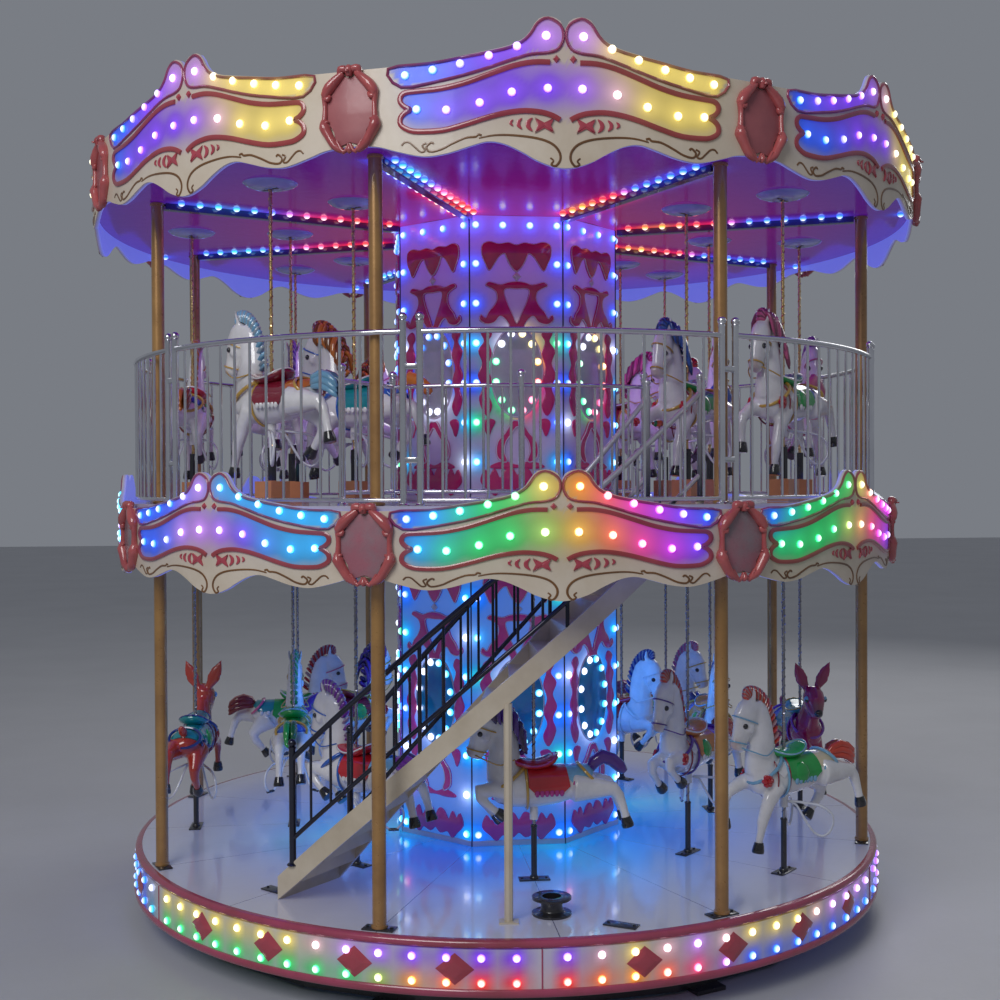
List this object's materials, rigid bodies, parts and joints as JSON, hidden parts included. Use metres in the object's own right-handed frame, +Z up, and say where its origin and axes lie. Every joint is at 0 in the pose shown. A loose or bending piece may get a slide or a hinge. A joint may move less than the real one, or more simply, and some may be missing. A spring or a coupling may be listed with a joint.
{
  "type": "double-deck fairground carousel",
  "caption": "Double-deck fairground carousel with a turning platform, helical stair, scalloped cornices and rides that rise and fall on poles.",
  "frame": {"origin": "on the ground, under the middle of the turning platform", "axes": "+Z up; the front bay, with the stair behind it, faces -Y; +X to the right seen from the front"},
  "size_m": [6.24, 6.24, 5.7901],
  "materials": {
    "black_steel": "satin black paint",
    "white_gloss_panel": "glossy white panel",
    "rose_trim": "glossy rose-red moulding",
    "column_panel": "glossy white panel with magenta ornament",
    "cream_paint": "cream gloss paint",
    "dark_rail": "dark glossy tube",
    "bright_steel": "polished tube",
    "cornice_cream": "glossy cream moulding with red borders",
    "magenta_gloss": "glossy magenta panel",
    "roof_panel": "weathered cream panel",
    "gold_post": "brown-gold tube",
    "ride_white": "glossy white moulding",
    "ride_red_brown": "glossy red-brown moulding",
    "barley_pole": "twisted bright tube",
    "lamp": "lit frosted lamp",
    "ornament_magenta": "glossy magenta relief",
    "ornament_salmon": "glossy salmon-red relief",
    "scroll_gold": "painted brown-gold scroll",
    "mirror_glass": "mirror",
    "saddle_paint": "glossy painted tack",
    "hoof_black": "glossy black"
  },
  "bodies": {
    "base": {"base_frame": "black_steel"},
    "carousel": {"platform_floor": "white_gloss_panel", "rim_nosing": "rose_trim", "rim_skirt": "white_gloss_panel", "post_1": "gold_post", "post_2": "gold_post", "post_3": "gold_post", "post_4": "gold_post", "post_5": "gold_post", "post_6": "gold_post", "post_7": "gold_post", "post_8": "gold_post", "column_lower": "column_panel", "column_upper": "column_panel", "stair_outer_stringer": "cream_paint", "stair_inner_stringer": "cream_paint", "stair_treads": "cream_paint", "stair_outer_rail": "dark_rail", "stair_inner_rail": "dark_rail", "second_deck": "white_gloss_panel", "lower_cornice": "cornice_cream", "upper_cornice": "cornice_cream", "ceiling": "magenta_gloss", "roof": "roof_panel", "guard_rail_right": "bright_steel", "guard_rail_back": "bright_steel", "guard_rail_left": "bright_steel", "well_guard": "bright_steel", "pole_socket": "black_steel"},
    "lower_inner_ride_1": {"lower_inner_ride_1": "ride_white"},
    "lower_inner_ride_2": {"lower_inner_ride_2": "ride_white"},
    "lower_inner_ride_3": {"lower_inner_ride_3": "ride_white"},
    "lower_inner_ride_4": {"lower_inner_ride_4": "ride_white"},
    "lower_inner_ride_5": {"lower_inner_ride_5": "ride_white"},
    "lower_inner_ride_6": {"lower_inner_ride_6": "ride_white"},
    "lower_inner_ride_7": {"lower_inner_ride_7": "ride_white"},
    "lower_inner_ride_8": {"lower_inner_ride_8": "ride_white"},
    "lower_outer_ride_1": {"lower_outer_ride_1": "ride_white"},
    "lower_outer_ride_2": {"lower_outer_ride_2": "ride_red_brown"},
    "lower_outer_ride_3": {"lower_outer_ride_3": "ride_white"},
    "lower_outer_ride_4": {"lower_outer_ride_4": "ride_white"},
    "lower_outer_ride_5": {"lower_outer_ride_5": "ride_white"},
    "lower_outer_ride_6": {"lower_outer_ride_6": "ride_red_brown"},
    "upper_inner_ride_1": {"upper_inner_ride_1": "ride_white"},
    "upper_inner_ride_2": {"upper_inner_ride_2": "ride_white"},
    "upper_inner_ride_3": {"upper_inner_ride_3": "ride_white"},
    "upper_inner_ride_4": {"upper_inner_ride_4": "ride_white"},
    "upper_inner_ride_5": {"upper_inner_ride_5": "ride_white"},
    "upper_inner_ride_6": {"upper_inner_ride_6": "ride_white"},
    "upper_inner_ride_7": {"upper_inner_ride_7": "ride_white"},
    "upper_outer_ride_1": {"upper_outer_ride_1": "ride_white"},
    "upper_outer_ride_2": {"upper_outer_ride_2": "ride_white"},
    "upper_outer_ride_3": {"upper_outer_ride_3": "ride_white"},
    "upper_outer_ride_4": {"upper_outer_ride_4": "ride_white"},
    "upper_outer_ride_5": {"upper_outer_ride_5": "ride_white"},
    "upper_outer_ride_6": {"upper_outer_ride_6": "ride_white"},
    "upper_outer_ride_7": {"upper_outer_ride_7": "ride_white"}
  },
  "joints": [
    {"name": "platform_turn", "type": "hinge", "parent": "base", "child": "carousel", "pos_m": [0, 0, 0.46], "axis": [0, 0, 1], "continuous": true},
    {"name": "lower_inner_ride_1_rise", "type": "slide", "parent": "carousel", "child": "lower_inner_ride_1", "axis": [0, 0, 1], "range_m": [-0.06, 0.06]},
    {"name": "lower_inner_ride_2_rise", "type": "slide", "parent": "carousel", "child": "lower_inner_ride_2", "axis": [0, 0, 1], "range_m": [-0.06, 0.06]},
    {"name": "lower_inner_ride_3_rise", "type": "slide", "parent": "carousel", "child": "lower_inner_ride_3", "axis": [0, 0, 1], "range_m": [-0.06, 0.06]},
    {"name": "lower_inner_ride_4_rise", "type": "slide", "parent": "carousel", "child": "lower_inner_ride_4", "axis": [0, 0, 1], "range_m": [-0.06, 0.06]},
    {"name": "lower_inner_ride_5_rise", "type": "slide", "parent": "carousel", "child": "lower_inner_ride_5", "axis": [0, 0, 1], "range_m": [-0.06, 0.06]},
    {"name": "lower_inner_ride_6_rise", "type": "slide", "parent": "carousel", "child": "lower_inner_ride_6", "axis": [0, 0, 1], "range_m": [-0.06, 0.06]},
    {"name": "lower_inner_ride_7_rise", "type": "slide", "parent": "carousel", "child": "lower_inner_ride_7", "axis": [0, 0, 1], "range_m": [-0.06, 0.06]},
    {"name": "lower_inner_ride_8_rise", "type": "slide", "parent": "carousel", "child": "lower_inner_ride_8", "axis": [0, 0, 1], "range_m": [-0.06, 0.06]},
    {"name": "lower_outer_ride_1_rise", "type": "slide", "parent": "carousel", "child": "lower_outer_ride_1", "axis": [0, 0, 1], "range_m": [-0.06, 0.06]},
    {"name": "lower_outer_ride_2_rise", "type": "slide", "parent": "carousel", "child": "lower_outer_ride_2", "axis": [0, 0, 1], "range_m": [-0.06, 0.06]},
    {"name": "lower_outer_ride_3_rise", "type": "slide", "parent": "carousel", "child": "lower_outer_ride_3", "axis": [0, 0, 1], "range_m": [-0.06, 0.06]},
    {"name": "lower_outer_ride_4_rise", "type": "slide", "parent": "carousel", "child": "lower_outer_ride_4", "axis": [0, 0, 1], "range_m": [-0.06, 0.06]},
    {"name": "lower_outer_ride_5_rise", "type": "slide", "parent": "carousel", "child": "lower_outer_ride_5", "axis": [0, 0, 1], "range_m": [-0.06, 0.06]},
    {"name": "lower_outer_ride_6_rise", "type": "slide", "parent": "carousel", "child": "lower_outer_ride_6", "axis": [0, 0, 1], "range_m": [-0.06, 0.06]},
    {"name": "upper_inner_ride_1_rise", "type": "slide", "parent": "carousel", "child": "upper_inner_ride_1", "axis": [0, 0, 1], "range_m": [-0.06, 0.06]},
    {"name": "upper_inner_ride_2_rise", "type": "slide", "parent": "carousel", "child": "upper_inner_ride_2", "axis": [0, 0, 1], "range_m": [-0.06, 0.06]},
    {"name": "upper_inner_ride_3_rise", "type": "slide", "parent": "carousel", "child": "upper_inner_ride_3", "axis": [0, 0, 1], "range_m": [-0.06, 0.06]},
    {"name": "upper_inner_ride_4_rise", "type": "slide", "parent": "carousel", "child": "upper_inner_ride_4", "axis": [0, 0, 1], "range_m": [-0.06, 0.06]},
    {"name": "upper_inner_ride_5_rise", "type": "slide", "parent": "carousel", "child": "upper_inner_ride_5", "axis": [0, 0, 1], "range_m": [-0.06, 0.06]},
    {"name": "upper_inner_ride_6_rise", "type": "slide", "parent": "carousel", "child": "upper_inner_ride_6", "axis": [0, 0, 1], "range_m": [-0.06, 0.06]},
    {"name": "upper_inner_ride_7_rise", "type": "slide", "parent": "carousel", "child": "upper_inner_ride_7", "axis": [0, 0, 1], "range_m": [-0.06, 0.06]},
    {"name": "upper_outer_ride_1_rise", "type": "slide", "parent": "carousel", "child": "upper_outer_ride_1", "axis": [0, 0, 1], "range_m": [-0.06, 0.06]},
    {"name": "upper_outer_ride_2_rise", "type": "slide", "parent": "carousel", "child": "upper_outer_ride_2", "axis": [0, 0, 1], "range_m": [-0.06, 0.06]},
    {"name": "upper_outer_ride_3_rise", "type": "slide", "parent": "carousel", "child": "upper_outer_ride_3", "axis": [0, 0, 1], "range_m": [-0.06, 0.06]},
    {"name": "upper_outer_ride_4_rise", "type": "slide", "parent": "carousel", "child": "upper_outer_ride_4", "axis": [0, 0, 1], "range_m": [-0.06, 0.06]},
    {"name": "upper_outer_ride_5_rise", "type": "slide", "parent": "carousel", "child": "upper_outer_ride_5", "axis": [0, 0, 1], "range_m": [-0.06, 0.06]},
    {"name": "upper_outer_ride_6_rise", "type": "slide", "parent": "carousel", "child": "upper_outer_ride_6", "axis": [0, 0, 1], "range_m": [-0.06, 0.06]},
    {"name": "upper_outer_ride_7_rise", "type": "slide", "parent": "carousel", "child": "upper_outer_ride_7", "axis": [0, 0, 1], "range_m": [-0.06, 0.06]}
  ],
  "couplings": [
    {"joint": "lower_inner_ride_2_rise", "follows": "lower_inner_ride_1_rise", "ratio": -1},
    {"joint": "lower_inner_ride_3_rise", "follows": "lower_inner_ride_1_rise", "ratio": 1},
    {"joint": "lower_inner_ride_4_rise", "follows": "lower_inner_ride_1_rise", "ratio": -1},
    {"joint": "lower_inner_ride_5_rise", "follows": "lower_inner_ride_1_rise", "ratio": 1},
    {"joint": "lower_inner_ride_6_rise", "follows": "lower_inner_ride_1_rise", "ratio": -1},
    {"joint": "lower_inner_ride_7_rise", "follows": "lower_inner_ride_1_rise", "ratio": 1},
    {"joint": "lower_inner_ride_8_rise", "follows": "lower_inner_ride_1_rise", "ratio": -1},
    {"joint": "lower_outer_ride_1_rise", "follows": "lower_inner_ride_1_rise", "ratio": 1},
    {"joint": "lower_outer_ride_2_rise", "follows": "lower_inner_ride_1_rise", "ratio": -1},
    {"joint": "lower_outer_ride_3_rise", "follows": "lower_inner_ride_1_rise", "ratio": 1},
    {"joint": "lower_outer_ride_4_rise", "follows": "lower_inner_ride_1_rise", "ratio": -1},
    {"joint": "lower_outer_ride_5_rise", "follows": "lower_inner_ride_1_rise", "ratio": 1},
    {"joint": "lower_outer_ride_6_rise", "follows": "lower_inner_ride_1_rise", "ratio": -1},
    {"joint": "upper_inner_ride_2_rise", "follows": "upper_inner_ride_1_rise", "ratio": -1},
    {"joint": "upper_inner_ride_3_rise", "follows": "upper_inner_ride_1_rise", "ratio": 1},
    {"joint": "upper_inner_ride_4_rise", "follows": "upper_inner_ride_1_rise", "ratio": -1},
    {"joint": "upper_inner_ride_5_rise", "follows": "upper_inner_ride_1_rise", "ratio": 1},
    {"joint": "upper_inner_ride_6_rise", "follows": "upper_inner_ride_1_rise", "ratio": -1},
    {"joint": "upper_inner_ride_7_rise", "follows": "upper_inner_ride_1_rise", "ratio": 1},
    {"joint": "upper_outer_ride_1_rise", "follows": "upper_inner_ride_1_rise", "ratio": -1},
    {"joint": "upper_outer_ride_2_rise", "follows": "upper_inner_ride_1_rise", "ratio": 1},
    {"joint": "upper_outer_ride_3_rise", "follows": "upper_inner_ride_1_rise", "ratio": -1},
    {"joint": "upper_outer_ride_4_rise", "follows": "upper_inner_ride_1_rise", "ratio": 1},
    {"joint": "upper_outer_ride_5_rise", "follows": "upper_inner_ride_1_rise", "ratio": -1},
    {"joint": "upper_outer_ride_6_rise", "follows": "upper_inner_ride_1_rise", "ratio": 1},
    {"joint": "upper_outer_ride_7_rise", "follows": "upper_inner_ride_1_rise", "ratio": -1}
  ]
}
